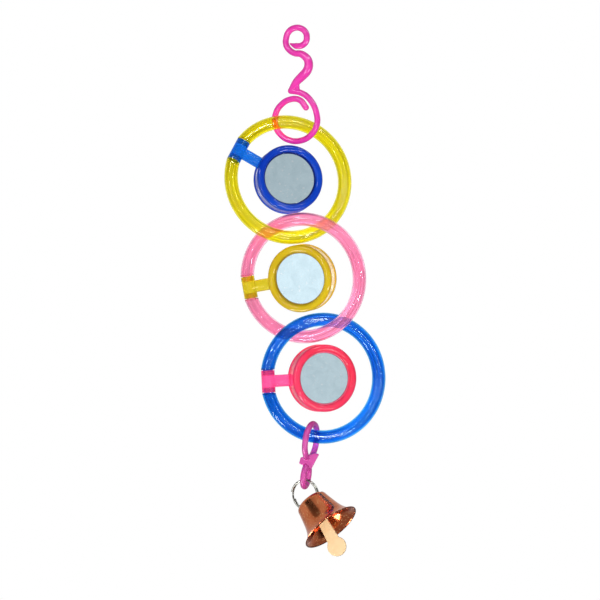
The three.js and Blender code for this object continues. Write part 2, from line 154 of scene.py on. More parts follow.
def in_hook_plane(points):
    """Spreads points that are seen from the front to their true width in the hook's turned plane."""
    return [Vector((x / math.cos(HOOK_TURN), 0, z)) for x, z in points]


def shares_along(points):
    """How far along the line each point lies, from 0 to 1."""
    run = [0.0]
    for before, after in zip(points, points[1:]):
        run.append(run[-1] + (after - before).length)
    return [length / run[-1] for length in run]


def rounded_tips(line, radii):
    """A small ball at each end of a rod, so that its ends are domed."""
    balls = []
    for place, radius in ((line[0], radii[0]), (line[-1], radii[-1])):
        bpy.ops.object.select_all(action="DESELECT")
        bpy.ops.mesh.primitive_uv_sphere_add(segments=20, ring_count=12, radius=radius, location=place)
        balls.append(bpy.context.object)
    return balls


def fused(pieces, grain):
    """Joins pieces into one moulded skin, with soft fillets where they meet."""
    pick_only(*pieces)
    bpy.ops.object.join()
    bpy.ops.object.transform_apply(location=True, rotation=True, scale=True)
    whole = bpy.context.object
    skin = whole.modifiers.new("skin", "REMESH")
    skin.mode = "VOXEL"
    skin.voxel_size = grain
    skin.use_smooth_shade = True
    ease = whole.modifiers.new("ease", "SMOOTH")
    ease.factor = 0.5
    ease.iterations = 4
    apply_modifiers(whole)
    bpy.ops.object.shade_smooth()
    return whole


upper_line = in_hook_plane(HOOK_TIP + curl((0, 0), SMALL_CURL) + HOOK_NECK + [HOOK_KINK])
upper_radii = []
for share in shares_along(upper_line):
    tip = HOOK_TIP_ROD + (HOOK_CURL_ROD - HOOK_TIP_ROD) * min(1, share / HOOK_TIP_SHARE)
    thin = tip if share < 1 - HOOK_NECK_SHARE / 2 else HOOK_ROD
    neck_share = max(0.0, share - (1 - HOOK_NECK_SHARE)) / HOOK_NECK_SHARE
    upper_radii.append((thin + (HOOK_NECK_ROD - thin) * math.sin(math.pi * neck_share)) / 2)
web_line = in_hook_plane([HOOK_NECK[-1], HOOK_WEB_FOOT])
lower_line = in_hook_plane([HOOK_KINK] + curl(LOOP_MIDDLE, LARGE_CURL))
lower_radii = [HOOK_ROD / 2] * len(lower_line)
hook = fused(
    [
        bent_rod(upper_line, upper_radii),
        bent_rod(web_line, [HOOK_WEB_ROD / 2] * 2),
        bent_rod(lower_line, lower_radii),
        *rounded_tips(upper_line, upper_radii),
        *rounded_tips(lower_line, lower_radii),
    ],
    HOOK_GRAIN,
)
hook.name = "magenta_hook"
set_in_place(hook, Matrix.Rotation(HOOK_TURN, 4, "Z"))


def feed(tree, node, sources):
    """Sets inputs of a shader node, each to a value or to another node's output."""
    for name, source in sources.items():
        if isinstance(source, bpy.types.NodeSocket):
            tree.links.new(source, node.inputs[name])
        else:
            node.inputs[name].default_value = source


def put(tree, kind, sources=None, **settings):
    """Puts a shader node into a node tree, with its settings and what goes into its inputs."""
    node = tree.nodes.new("ShaderNode" + kind)
    for name, setting in settings.items():
        setattr(node, name, setting)
    feed(tree, node, sources or {})
    return node


def start_finish(name, values):
    """Starts the node group of a finish, with its inputs' usual values, and gives its two ends too."""
    group = bpy.data.node_groups.new(name, "ShaderNodeTree")
    for label, value in values.items():
        kind = "NodeSocketColor" if isinstance(value, tuple) else "NodeSocketFloat"
        socket = group.interface.new_socket(label, in_out="INPUT", socket_type=kind)
        socket.default_value = value
    group.interface.new_socket("Colour", in_out="OUTPUT", socket_type="NodeSocketColor")
    for label in ("Roughness", "Height"):
        group.interface.new_socket(label, in_out="OUTPUT", socket_type="NodeSocketFloat")
    return group, group.nodes.new("NodeGroupInput").outputs, group.nodes.new("NodeGroupOutput")


def moulded_finish():
    """The marks that any moulded plastic has: cloudy colour, scuffs and a slight ripple."""
    group, given, result = start_finish(
        "moulded_finish",
        {
            "Colour": (0.8, 0.8, 0.8, 1),
            "Deep Colour": (0.6, 0.6, 0.6, 1),
            "Cloud Size": 90.0,
            "Smoothest": 0.08,
            "Scuff": 0.2,
        },
    )
    place = put(group, "TexCoord").outputs["Object"]
    cloud = put(group, "TexNoise", {"Vector": place, "Scale": given["Cloud Size"], "Detail": 3})
    cloudy = put(group, "MapRange", {"Value": cloud.outputs["Fac"], "From Min": 0.35, "From Max": 0.7})
    tint = put(
        group,
        "Mix",
        {"Factor": cloudy.outputs["Result"], "A": given["Colour"], "B": given["Deep Colour"]},
        data_type="RGBA",
    )
    scratch = put(group, "TexNoise", {"Vector": place, "Scale": 420, "Detail": 6, "Distortion": 1.6})
    scuffed = put(group, "MapRange", {"Value": scratch.outputs["Fac"], "From Min": 0.58, "From Max": 0.74})
    rougher = put(
        group,
        "Math",
        {0: scuffed.outputs["Result"], 1: given["Scuff"], 2: given["Smoothest"]},
        operation="MULTIPLY_ADD",
    )
    ripple = put(group, "TexNoise", {"Vector": place, "Scale": 260, "Detail": 2})
    group.links.new(tint.outputs["Result"], result.inputs["Colour"])
    group.links.new(rougher.outputs["Value"], result.inputs["Roughness"])
    group.links.new(ripple.outputs["Fac"], result.inputs["Height"])
    return group


def new_material(name):
    material = bpy.data.materials.new(name)
    material.use_nodes = True
    return material


def shader_of(material):
    return material.node_tree.nodes["Principled BSDF"]


def finished(name, finish, values, unevenness):
    """A material with a finish on it: what goes into the finish, and how uneven the surface is."""
    material = new_material(name)
    tree = material.node_tree
    marks = put(tree, "Group", values, node_tree=finish).outputs
    bump = put(tree, "Bump", {"Strength": unevenness, "Distance": 0.5 * MM, "Height": marks["Height"]})
    feed(
        tree,
        shader_of(material),
        {
            "Base Color": marks["Colour"],
            "Roughness": marks["Roughness"],
            "Normal": bump.outputs["Normal"],
        },
    )
    return material


moulded = moulded_finish()
PLASTIC_IOR = 1.36


def plastic(name, colour, deep, cloud_size, smoothest, scuff, ripple=0.05):
    """A moulded plastic with its own colours, gloss and ripple. Colours are linear."""
    values = {
        "Colour": (*colour, 1),
        "Deep Colour": (*deep, 1),
        "Cloud Size": cloud_size,
        "Smoothest": smoothest,
        "Scuff": scuff,
    }
    material = finished(name, moulded, values, ripple)
    shader_of(material).inputs["IOR"].default_value = PLASTIC_IOR
    return material


def dress(piece, material, body, slot, *nodes):
    """Gives a finished piece its material, its body and the CAD nodes that it stands for. Its slot is not
    used.
    """
    piece.data.materials.clear()
    piece.data.materials.append(material)
    piece.data.name = piece.name
    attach(piece, body)
    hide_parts(*nodes)


hook_plastic = plastic(
    "hook_plastic",
    (0.86, 0.045, 0.42),
    (0.72, 0.03, 0.36),
    cloud_size=120,
    smoothest=0.14,
    scuff=0.15,
)
dress(hook, hook_plastic, "hook", "hook_plastic", "hanger_hook")


# Rings: three tubes of clear coloured plastic, bent to a circle and left open for the mirror's sleeve.
# Each end is closed and drawn down to a thin pin, which plugs into the sleeve. They are linked like
# a chain, and the mirrors swivel on the pins.
RING_RADIUS = 27 * MM
RING_ROD = 6.2 * MM
RING_WALL = 0.6 * MM
RING_CUT = 5.35 * MM
PIN_LINE = math.sqrt(RING_RADIUS**2 - RING_CUT**2)
PIN_RADIUS = 2.3 * MM
PIN_LENGTH = 2.4 * MM
CLEAR_IOR = 1.2
SHADOW_PALENESS = 0.75
LINE_LENGTH = 0.6
LINE_FINENESS = 5
# The colour along each kind of line, as a share and a power of the ring's colour: the pale line is a
# painted highlight streak, the dark line is painted shade.
STREAK_HIGHLIGHT_AND_SHADE = {"Line": (1.2, 0.8), "Shade Line": (0.78, 1)}
# The level of each ring in the chain, how clear it is, its colour and its deeper colour.
RINGS = {
    "yellow": ("upper", 0.96, (0.8, 0.73, 0.033), (0.73, 0.65, 0.018)),
    "pink": ("middle", 0.93, (0.9, 0.445, 0.6), (0.87, 0.37, 0.535)),
    "blue": ("lower", 0.96, (0.022, 0.315, 0.77), (0.011, 0.25, 0.71)),
}
joints = {joint["name"]: joint for joint in frame["joints"]}


def pick_faces(piece, wanted):
    """In edit mode, selects just the faces whose middle and normal pass the test."""
    bpy.ops.object.mode_set(mode="EDIT")
    bpy.ops.mesh.select_mode(type="FACE")
    bpy.ops.mesh.select_all(action="DESELECT")
    bpy.ops.object.mode_set(mode="OBJECT")
    for face in piece.data.polygons:
        face.select = wanted(face.center, face.normal)
    bpy.ops.object.mode_set(mode="EDIT")


def soften_edges(piece, width, segments, sharpest):
    """Rounds off the edges that turn by more than so many degrees."""
    soft_edges = piece.modifiers.new("soft edges", "BEVEL")
    soft_edges.width = width
    soft_edges.segments = segments
    soft_edges.limit_method = "ANGLE"
    soft_edges.angle_limit = math.radians(sharpest)


def smooth_skin(piece, sharpest):
    """Shades a piece smooth, apart from the edges that turn by more than so many degrees."""
    pick_only(piece)
    bpy.ops.object.shade_smooth_by_angle(angle=math.radians(sharpest))


def surface_middle(node):
    """The middle of a CAD node's surface, with each triangle counted by its area."""
    faces = frame["nodes"][node].data.polygons
    area = sum(face.area for face in faces)
    return sum((face.area * face.center for face in faces), Vector()) / area


def lie_of(origin, x, y, z):
    return Matrix.Translation(origin) @ Matrix((x, y, z)).transposed().to_4x4()


def lie_on_pins(node, joint):
    """Where a ring or mirror lies: its middle, with X towards the sleeve, Y along the pins, Z in front."""
    pins = Vector(joints[joint]["pos_m"])
    pin_line = Vector(joints[joint]["axis"]).normalized()
    inward = surface_middle(node) - pins
    inward = (inward - inward.dot(pin_line) * pin_line).normalized()
    front = pin_line.cross(inward)
    if front.y > 0:
        front = -front
    return lie_of(pins + PIN_LINE * inward, -inward, front.cross(-inward), front)


def copy_of(piece, name):
    pick_only(piece)
    bpy.ops.object.duplicate()
    copy = bpy.context.object
    copy.name = name
    return copy


bpy.ops.object.select_all(action="DESELECT")
bpy.ops.mesh.primitive_torus_add(
    major_radius=RING_RADIUS, minor_radius=RING_ROD / 2, major_segments=160, minor_segments=32
)
ring_pattern = bpy.context.object
for side in (-1, 1):
    pick_faces(ring_pattern, lambda middle, normal: middle.x > 0)
    bpy.ops.mesh.bisect(plane_co=(0, side * RING_CUT, 0), plane_no=(0, 1, 0))
pick_faces(ring_pattern, lambda middle, normal: middle.x > 0 and abs(middle.y) < RING_CUT)
bpy.ops.mesh.delete(type="FACE")
bpy.ops.mesh.select_all(action="SELECT")
bpy.ops.mesh.fill_holes(sides=0)
for side in (-1, 1):
    pick_faces(
        ring_pattern,
        lambda middle, normal: middle.x > 0
        and abs(middle.y - side * RING_CUT) < 0.01 * MM
        and abs(normal.y) > 0.99,
    )
    bpy.ops.mesh.inset(thickness=RING_ROD / 2 - PIN_RADIUS)
    bpy.ops.mesh.extrude_region_move(TRANSFORM_OT_translate={"value": (0, -side * PIN_LENGTH, 0)})
bpy.ops.object.mode_set(mode="OBJECT")
soften_edges(ring_pattern, 0.25 * MM, segments=3, sharpest=40)
hollow = ring_pattern.modifiers.new("hollow", "SOLIDIFY")
hollow.thickness = RING_WALL
hollow.offset = -1
apply_modifiers(ring_pattern)
smooth_skin(ring_pattern, sharpest=35)


def lines_and_painted_streaks():
    """The fine lines along a tube, alike on both its walls: pale lines that are painted highlight streaks
    and dark lines that are painted shade, partly also the marks that drawing leaves.
    U of the tube's UV map runs along it and V round it."""
    group = bpy.data.node_groups.new("lines_and_painted_streaks", "ShaderNodeTree")
    for name in ("Line", "Shade Line"):
        group.interface.new_socket(name, in_out="OUTPUT", socket_type="NodeSocketFloat")
    result = group.nodes.new("NodeGroupOutput")
    unrolled = put(group, "UVMap", uv_map="UVMap")
    split = put(group, "SeparateXYZ", {"Vector": unrolled.outputs["UV"]})
    angle = put(group, "Math", {0: split.outputs["Y"], 1: 2 * math.pi}, operation="MULTIPLY")
    across = put(group, "Math", {0: angle.outputs["Value"]}, operation="COSINE")
    along = put(group, "Math", {0: split.outputs["X"], 1: LINE_LENGTH}, operation="MULTIPLY")
    place = put(group, "CombineXYZ", {"X": across.outputs["Value"], "Z": along.outputs["Value"]})
    line_values = {"Vector": place.outputs["Vector"], "Scale": LINE_FINENESS, "Detail": 1}
    lines = put(group, "TexNoise", line_values)
    for mark, least, most in (("Line", 0.55, 0.6), ("Shade Line", 0.47, 0.4)):
        values = {"Value": lines.outputs["Fac"], "From Min": least, "From Max": most}
        clear_cut = put(group, "MapRange", values)
        group.links.new(clear_cut.outputs["Result"], result.inputs[mark])
    return group


streak_marks = lines_and_painted_streaks()


def end_in_either(tree, mask, first, second, end="Material Output"):
    """Ends a node tree in the first shader, and in the second where the mask is 1."""
    either = put(tree, "MixShader", {"Fac": mask, 1: first, 2: second})
    tree.links.new(either.outputs["Shader"], tree.nodes[end].inputs["Surface"])


def clear_plastic(name, colour, deep, see_through, **finish):
    """The same moulded plastic, but clear: what lies behind it shows through in its colour, lamps too."""
    material = plastic(name, colour, deep, **finish)
    tree = material.node_tree
    shader = shader_of(material)
    feed(tree, shader, {"Transmission Weight": see_through, "IOR": CLEAR_IOR})
    pale = [SHADOW_PALENESS + (1 - SHADOW_PALENESS) * part for part in colour]
    lit_through = put(tree, "BsdfTransparent", {"Color": (*pale, 1)})
    shadow = put(tree, "LightPath").outputs["Is Shadow Ray"]
    end_in_either(tree, shadow, shader.outputs["BSDF"], lit_through.outputs["BSDF"])
    return material


def colour_where(material, mask, colour, blend="MIX"):
    """Lays another colour on a material where the mask is 1."""
    base = shader_of(material).inputs["Base Color"]
    laid = put(
        material.node_tree,
        "Mix",
        {"Factor": mask, "A": base.links[0].from_socket, "B": (*colour, 1)},
        data_type="RGBA",
        blend_type=blend,
    )
    material.node_tree.links.new(laid.outputs["Result"], base)


for colour_name, (level, see_through, colour, deep) in RINGS.items():
    ring = copy_of(ring_pattern, colour_name + "_ring_tube")
    set_in_place(ring, lie_on_pins(colour_name + "_ring", level + "_mirror_swivel"))
    ring_plastic = clear_plastic(
        colour_name + "_ring_plastic",
        colour,
        deep,
        see_through,
        cloud_size=70,
        smoothest=0.06,
        scuff=0.06,
        ripple=0.01,
    )
    marks = put(ring_plastic.node_tree, "Group", node_tree=streak_marks).outputs
    # Paints the pale lines as highlight streaks and the dark lines as shade into the tube's colour.
    for mark, (share, power) in STREAK_HIGHLIGHT_AND_SHADE.items():
        colour_where(ring_plastic, marks[mark], [min(share * part**power, 1) for part in colour])
    normal = shader_of(ring_plastic).inputs["Normal"]
    ridges = put(
        ring_plastic.node_tree,
        "Bump",
        {
            "Strength": 0.015,
            "Distance": 0.35 * MM,
            "Height": marks["Line"],
            "Normal": normal.links[0].from_socket,
        },
    )
    ring_plastic.node_tree.links.new(ridges.outputs["Normal"], normal)
    dress(ring, ring_plastic, level + "_ring", colour_name + "_ring_plastic", colour_name + "_ring")
bpy.data.objects.remove(ring_pattern)


# Mirror holders: each is a T of clear plastic, a sleeve with a socket at each end for the ring's pins
# and a fluted oval stem, in one moulding with a drum that has a web across its middle.
# A mirror lies on each side of the web.
SLEEVE_HALF = 5.05 * MM
SOCKET_RADIUS = 2.55 * MM
STEM_WIDTH = 5.5 * MM
STEM_DEPTH = 4.7 * MM
STEM_IN_DRUM = 1.0 * MM
FLUTES = 8
FLUTE_SHARE = 0.12
DRUM_OUTER = 15.1 * MM
DRUM_INNER = 13.1 * MM
DRUM_HALF = 2.6 * MM
DRUM_CHAMFER = 0.15 * MM
WEB_HALF = 1.3 * MM
RIB = 0.35 * MM
MIRROR_LEVELS = {"blue": "upper", "yellow": "middle", "red": "lower"}
TEE_COLOURS = {
    "blue": ((0.008, 0.18, 0.68), (0.004, 0.13, 0.6)),
    "yellow": ((0.66, 0.56, 0.02), (0.62, 0.49, 0.012)),
    "red": ((0.93, 0.12, 0.37), (0.9, 0.08, 0.3)),
}
DRUM_COLOURS = {
    "blue": ((0.2, 0.22, 0.62), (0.1, 0.12, 0.5)),
    "yellow": ((0.92, 0.85, 0.5), (0.85, 0.74, 0.34)),
    "red": ((0.9, 0.25, 0.28), (0.85, 0.12, 0.15)),
}


def draw_line(points):
    """Starts a new mesh in edit mode, with one line of vertices through the points."""
    bpy.ops.object.select_all(action="DESELECT")
    bpy.ops.mesh.primitive_plane_add(size=MM)
    bpy.ops.object.mode_set(mode="EDIT")
    bpy.ops.mesh.select_mode(type="VERT")
    bpy.ops.mesh.select_all(action="SELECT")
    bpy.ops.mesh.merge(type="CENTER")
    last = Vector(points[0])
    bpy.ops.transform.translate(value=last)
    for point in points[1:]:
        bpy.ops.mesh.extrude_region_move(TRANSFORM_OT_translate={"value": Vector(point) - last})
        last = Vector(point)
    return bpy.context.object


def turned(profile, steps):
    """Spins (radius, height) pairs about the Z axis, as on a lathe, and closes the skin."""
    piece = draw_line([(radius, 0, height) for radius, height in profile])
    bpy.ops.mesh.select_all(action="SELECT")
    bpy.ops.mesh.spin(steps=steps, angle=2 * math.pi, center=(0, 0, 0), axis=(0, 0, 1))
    bpy.ops.mesh.select_all(action="SELECT")
    bpy.ops.mesh.remove_doubles(threshold=0.001 * MM)
    bpy.ops.mesh.normals_make_consistent(inside=False)
    bpy.ops.object.mode_set(mode="OBJECT")
    return piece


def combine(piece, operation, other):
    """Melts another closed piece into this one (UNION) or cuts it out of it (DIFFERENCE)."""
    join = piece.modifiers.new("join", "BOOLEAN")
    join.operation = operation
    join.solver = "EXACT"
    join.object = other
    apply_modifiers(piece)
    bpy.data.objects.remove(other)


bpy.ops.object.select_all(action="DESELECT")
bpy.ops.mesh.primitive_cylinder_add(
    vertices=64,
    radius=RING_ROD / 2,
    depth=2 * SLEEVE_HALF,
    location=(PIN_LINE, 0, 0),
    rotation=(math.pi / 2, 0, 0),
)
tee_pattern = bpy.context.object
set_in_place(tee_pattern, tee_pattern.matrix_world.copy())
for side in (-1, 1):
    pick_faces(tee_pattern, lambda middle, normal: side * normal.y > 0.9)
    bpy.ops.mesh.inset(thickness=RING_ROD / 2 - SOCKET_RADIUS)
    bpy.ops.mesh.extrude_region_move(TRANSFORM_OT_translate={"value": (0, -side * PIN_LENGTH, 0)})
bpy.ops.object.mode_set(mode="OBJECT")

stem_start = DRUM_OUTER - STEM_IN_DRUM
stem_end = PIN_LINE - SOCKET_RADIUS
bpy.ops.object.select_all(action="DESELECT")
bpy.ops.mesh.primitive_cylinder_add(
    vertices=72,
    radius=STEM_WIDTH / 2,
    depth=stem_end - stem_start,
    location=((stem_start + stem_end) / 2, 0, 0),
    rotation=(0, math.pi / 2, 0),
    scale=(STEM_DEPTH / STEM_WIDTH, 1, 1),
)
stem = bpy.context.object
set_in_place(stem, stem.matrix_world.copy())
for vertex in stem.data.vertices:
    turn = math.atan2(vertex.co.z / STEM_DEPTH, vertex.co.y / STEM_WIDTH)
    width_left = 1 - FLUTE_SHARE * (1 - abs(math.cos(FLUTES * turn / 2)))
    vertex.co.y *= width_left
    vertex.co.z *= width_left
combine(tee_pattern, "UNION", stem)
soften_edges(tee_pattern, 0.15 * MM, segments=2, sharpest=50)
apply_modifiers(tee_pattern)
smooth_skin(tee_pattern, sharpest=35)

drum_half_profile = [
    (DRUM_OUTER, 0.8 * RIB),
    (DRUM_OUTER - RIB, 1.4 * RIB),
    (DRUM_OUTER - RIB, 2.4 * RIB),
    (DRUM_OUTER, 3 * RIB),
    (DRUM_OUTER, DRUM_HALF - DRUM_CHAMFER),
    (DRUM_OUTER - DRUM_CHAMFER, DRUM_HALF),
    (DRUM_INNER, DRUM_HALF),
    (DRUM_INNER, WEB_HALF),
    (0, WEB_HALF),
]
drum_other_half = [(radius, -height) for radius, height in drum_half_profile[::-1]]
drum_pattern = turned(drum_other_half + drum_half_profile, steps=128)
smooth_skin(drum_pattern, sharpest=30)

mirror_lies = {}
for colour_name, level in MIRROR_LEVELS.items():
    mirror_name = colour_name + "_mirror"
    lie = lie_on_pins(mirror_name + "_holder", level + "_mirror_swivel")
    mirror_lies[colour_name] = lie
    slot = mirror_name + "_plastic"
    tee = copy_of(tee_pattern, mirror_name + "_tee")
    set_in_place(tee, lie)
    tee_plastic = clear_plastic(
        mirror_name + "_tee_plastic",
        *TEE_COLOURS[colour_name],
        see_through=0.74,
        cloud_size=110,
        smoothest=0.2,
        scuff=0.06,
        ripple=0.01,
    )
    dress(tee, tee_plastic, level + "_mirror", slot, mirror_name + "_holder")
    drum = copy_of(drum_pattern, mirror_name + "_drum")
    set_in_place(drum, lie)
    drum_plastic = plastic(
        mirror_name + "_drum_plastic",
        *DRUM_COLOURS[colour_name],
        cloud_size=160,
        smoothest=0.2,
        scuff=0.2,
    )
    dress(drum, drum_plastic, level + "_mirror", slot, mirror_name + "_holder")
bpy.data.objects.remove(tee_pattern)
bpy.data.objects.remove(drum_pattern)


# Bezels: six rounded rims of coloured plastic, one on each side of each drum. They are pressed over the
# drum's edge and hold the mirrors in. A narrow step inside the rim makes the thin line round the mirror,
# with painted shade on it on the blue and yellow rims and a painted highlight on the red.
BEZEL_INNER = 11.8 * MM
BEZEL_OUTER = 15.5 * MM
BEZEL_SEAT = 2.62 * MM
BEZEL_EDGE = 3.3 * MM
BEZEL_TOP = 4.8 * MM
BEZEL_CHAMFER = 0.1 * MM
STEP_WIDTH = 0.35 * MM
STEP_HEIGHT = 0.38 * MM
STEP_CHAMFER = 0.08 * MM
RIM_STEPS = 20
RIM_FULLNESS = 0.9
BEZEL_COLOURS = {
    "blue": ((0.004, 0.06, 0.54), (0.002, 0.033, 0.42)),
    "yellow": ((0.68, 0.48, 0.01), (0.6, 0.4, 0.006)),
    "red": ((0.96, 0.05, 0.13), (0.9, 0.03, 0.075)),
}
# Painted shade on the step of the blue and yellow rims (darker) and a painted highlight on the red one
# (paler), multiplied into the bezel's colour.
STEP_SHADE_AND_HIGHLIGHT = {"blue": (0.25, 0.3, 0.4), "yellow": (0.7, 0.62, 0.6), "red": (1.0, 3.0, 2.2)}

rim_inner = BEZEL_INNER + STEP_WIDTH
rim = [
    (BEZEL_INNER, BEZEL_SEAT),
    (BEZEL_INNER, BEZEL_SEAT + STEP_HEIGHT - STEP_CHAMFER),
    (BEZEL_INNER + STEP_CHAMFER, BEZEL_SEAT + STEP_HEIGHT),
    (rim_inner, BEZEL_SEAT + STEP_HEIGHT),
]
for i in range(RIM_STEPS + 1):
    angle = math.pi * (1 - i / RIM_STEPS)
    radius = (rim_inner + BEZEL_OUTER) / 2 + (BEZEL_OUTER - rim_inner) / 2 * math.cos(angle)
    rim.append((radius, BEZEL_EDGE + (BEZEL_TOP - BEZEL_EDGE) * math.sin(angle) ** RIM_FULLNESS))
rim += [
    (BEZEL_OUTER, BEZEL_SEAT + BEZEL_CHAMFER),
    (BEZEL_OUTER - BEZEL_CHAMFER, BEZEL_SEAT),
    rim[0],
]
bezel_pattern = turned(rim, steps=144)
smooth_skin(bezel_pattern, sharpest=40)
inner_edge = bezel_pattern.data.attributes.new("inner_edge", "FLOAT", "POINT")
for vertex in bezel_pattern.data.vertices:
    inner_edge.data[vertex.index].value = float(vertex.co.xy.length < rim_inner + 0.05 * MM)


def tinted_where(material, attribute, tint):
    """Tints a material where an attribute of the mesh is 1, and gives that mask."""
    mask = put(material.node_tree, "Attribute", attribute_name=attribute).outputs["Fac"]
    colour_where(material, mask, tint, blend="MULTIPLY")
    return mask


FACES = {"front": Matrix.Identity(4), "rear": Matrix.Rotation(math.pi, 4, "X")}
for colour_name, level in MIRROR_LEVELS.items():
    mirror_name = colour_name + "_mirror"
    bezel_plastic = plastic(
        mirror_name + "_bezel_plastic",
        *BEZEL_COLOURS[colour_name],
        cloud_size=60,
        smoothest=0.06,
        scuff=0.06,
        ripple=0.03,
    )
    shader_of(bezel_plastic).inputs["Specular IOR Level"].default_value = 0.28
    # Paints the step round the mirror: shade on the blue and yellow rims, a highlight on the red.
    tinted_where(bezel_plastic, "inner_edge", STEP_SHADE_AND_HIGHLIGHT[colour_name])
    for face, turn in FACES.items():
        bezel = copy_of(bezel_pattern, f"{mirror_name}_{face}_rim")
        set_in_place(bezel, mirror_lies[colour_name] @ turn)
        node = f"{mirror_name}_{face}_bezel"
        dress(bezel, bezel_plastic, level + "_mirror", mirror_name + "_plastic", node)
bpy.data.objects.remove(bezel_pattern)


# Mirrors: six thin silvered discs, stamped from sheet with a bevelled edge. Each lies on the web of
# a drum and is held by the bezel, front and rear alike. Handling leaves faint smears on the silver.
GLASS_RADIUS = 12.8 * MM
GLASS_FLAT = 11.6 * MM
GLASS_BACK = 1.6 * MM
GLASS_FACE = 2.6 * MM
glass_pattern = turned(
    [
        (0, GLASS_BACK),
        (GLASS_RADIUS, GLASS_BACK),
        (GLASS_RADIUS, GLASS_FACE - 0.5 * MM),
        (GLASS_FLAT + 0.3 * MM, GLASS_FACE - 0.2 * MM),
        (GLASS_FLAT + 0.15 * MM, GLASS_FACE - 0.05 * MM),
        (GLASS_FLAT, GLASS_FACE),
        (0.6 * GLASS_FLAT, GLASS_FACE),
        (0, GLASS_FACE),
    ],
    steps=96,
)
smooth_skin(glass_pattern, sharpest=12)

silver = new_material("mirror_silver")
silver_tree = silver.node_tree
silver_place = put(silver_tree, "TexCoord").outputs["Object"]
cloud = put(silver_tree, "TexNoise", {"Vector": silver_place, "Scale": 900, "Detail": 4}).outputs["Fac"]
smear_values = {"Vector": silver_place, "Scale": 190, "Detail": 5, "Distortion": 0.8}
smear = put(silver_tree, "TexNoise", smear_values).outputs["Fac"]
mottle = put(silver_tree, "MapRange", {"Value": smear, "From Min": 0.3, "From Max": 0.7})
tone = put(
    silver_tree,
    "Mix",
    {
        "Factor": mottle.outputs["Result"],
        "A": (0.63, 0.79, 0.86, 1),
        "B": (0.745, 0.915, 0.985, 1),
    },
    data_type="RGBA",
)
dull_values = {"Value": smear, "From Min": 0.3, "From Max": 0.75, "To Min": 0.08, "To Max": 0.14}
dull = put(silver_tree, "MapRange", dull_values)
wavy = put(silver_tree, "Bump", {"Strength": 0.03, "Distance": 0.05 * MM, "Height": cloud})
feed(
    silver_tree,
    shader_of(silver),
    {
        "Metallic": 1,
        "Base Color": tone.outputs["Result"],
        "Roughness": dull.outputs["Result"],
        "Normal": wavy.outputs["Normal"],
    },
)
speck_values = {"Value": cloud, "From Min": 0.63, "From Max": 0.69, "To Max": 0.6}
speck = put(silver_tree, "MapRange", speck_values)
colour_where(silver, speck.outputs["Result"], (0.95, 0.98, 1.0))

for colour_name, level in MIRROR_LEVELS.items():
    for face, turn in FACES.items():
        face_name = f"{colour_name}_mirror_{face}"
        glass = copy_of(glass_pattern, face_name + "_disc")
        set_in_place(glass, mirror_lies[colour_name] @ turn)
        dress(glass, silver, level + "_mirror", "mirror", face_name + "_glass")
bpy.data.objects.remove(glass_pattern)


# Clip: one satin magenta moulding, with a large loop round the lowest ring, a wedge-shaped collar that
# the loop's free strand snaps into, and a small loop below, which holds the split ring.
CLIP_STRAND = 2.8 * MM
# The width, top, bottom and turn of each loop.
CLIP_LOOP = (15.0 * MM, 5.5 * MM, -10.3 * MM, math.radians(70))
CLIP_EYE = (8.6 * MM, -13.7 * MM, -23.5 * MM, math.radians(74))
STRAND_POINTS = 24
COLLAR_WIDTH = 8.6 * MM
COLLAR_HEIGHT = 7.4 * MM
COLLAR_DEPTH = 5.0 * MM
COLLAR_MIDDLE = -12.0 * MM
COLLAR_CORNERS = [(-0.46, -0.19), (0.24, -0.41), (0.54, 0.56), (0.32, 0.59), (-0.42, 0.19)]
CLIP_GRAIN = 0.2 * MM


def strand_loop(width, top, bottom, turn):
    """A closed loop of round strand, longer than it is wide and turned about the clip's length."""
    points = []
    for i in range(STRAND_POINTS):
        angle = 2 * math.pi * i / STRAND_POINTS
        x = width / 2 * math.cos(angle)
        y = width / 2 * math.sin(angle)
        y += (top - bottom - width) / 2 * math.sin(math.pi / 2 * math.sin(angle))
        points.append(Vector((x * math.cos(turn), y + (top + bottom) / 2, -x * math.sin(turn))))
    return bent_rod(points, [CLIP_STRAND / 2] * len(points), closed=True)


def cut_out(outline, thickness):
    """A flat piece that is cut along an outline, with its thickness centred on the XY plane."""
    piece = draw_line([(x, y, -thickness / 2) for x, y in outline])
    bpy.ops.mesh.select_all(action="SELECT")
    bpy.ops.mesh.edge_face_add()
    bpy.ops.mesh.extrude_region_move(TRANSFORM_OT_translate={"value": (0, 0, thickness)})
    bpy.ops.mesh.select_all(action="SELECT")
    bpy.ops.mesh.normals_make_consistent(inside=False)
    bpy.ops.object.mode_set(mode="OBJECT")
    return piece


collar_outline = [(x * COLLAR_WIDTH, COLLAR_MIDDLE + y * COLLAR_HEIGHT) for x, y in COLLAR_CORNERS]
collar = cut_out(collar_outline, COLLAR_DEPTH)
clip = fused([strand_loop(*CLIP_LOOP), strand_loop(*CLIP_EYE), collar], CLIP_GRAIN)
clip.name = "magenta_clip"
clip_top = Vector(joints["clip_swing"]["pos_m"])
clip_up = (clip_top - Vector(joints["key_ring_swing"]["pos_m"])).normalized()
clip_front = Vector((0, -1, 0))
set_in_place(clip, lie_of(clip_top, clip_up.cross(clip_front), clip_up, clip_front))
clip_plastic = plastic(
    "clip_plastic",
    (0.63, 0.062, 0.355),
    (0.53, 0.045, 0.3),
    cloud_size=320,
    smoothest=0.45,
    scuff=0.2,
)
dress(clip, clip_plastic, "clip", "clip_plastic", "bell_clip")


# Split ring: hard steel wire wound in almost two turns and nickel plated. Its turns lie side by side,
# with a dark line between them, and it goes through the clip's small loop and the bell's crown.
SPLIT_RADIUS = 6.65 * MM
SPLIT_WIRE = 0.8 * MM
SPLIT_FLATTENING = (2.3, 1.25, 1)
SPLIT_PITCH = 1.2 * MM
SPLIT_TURNS = 1.92
SPLIT_STEPS = 200
SPLIT_START = math.radians(155)

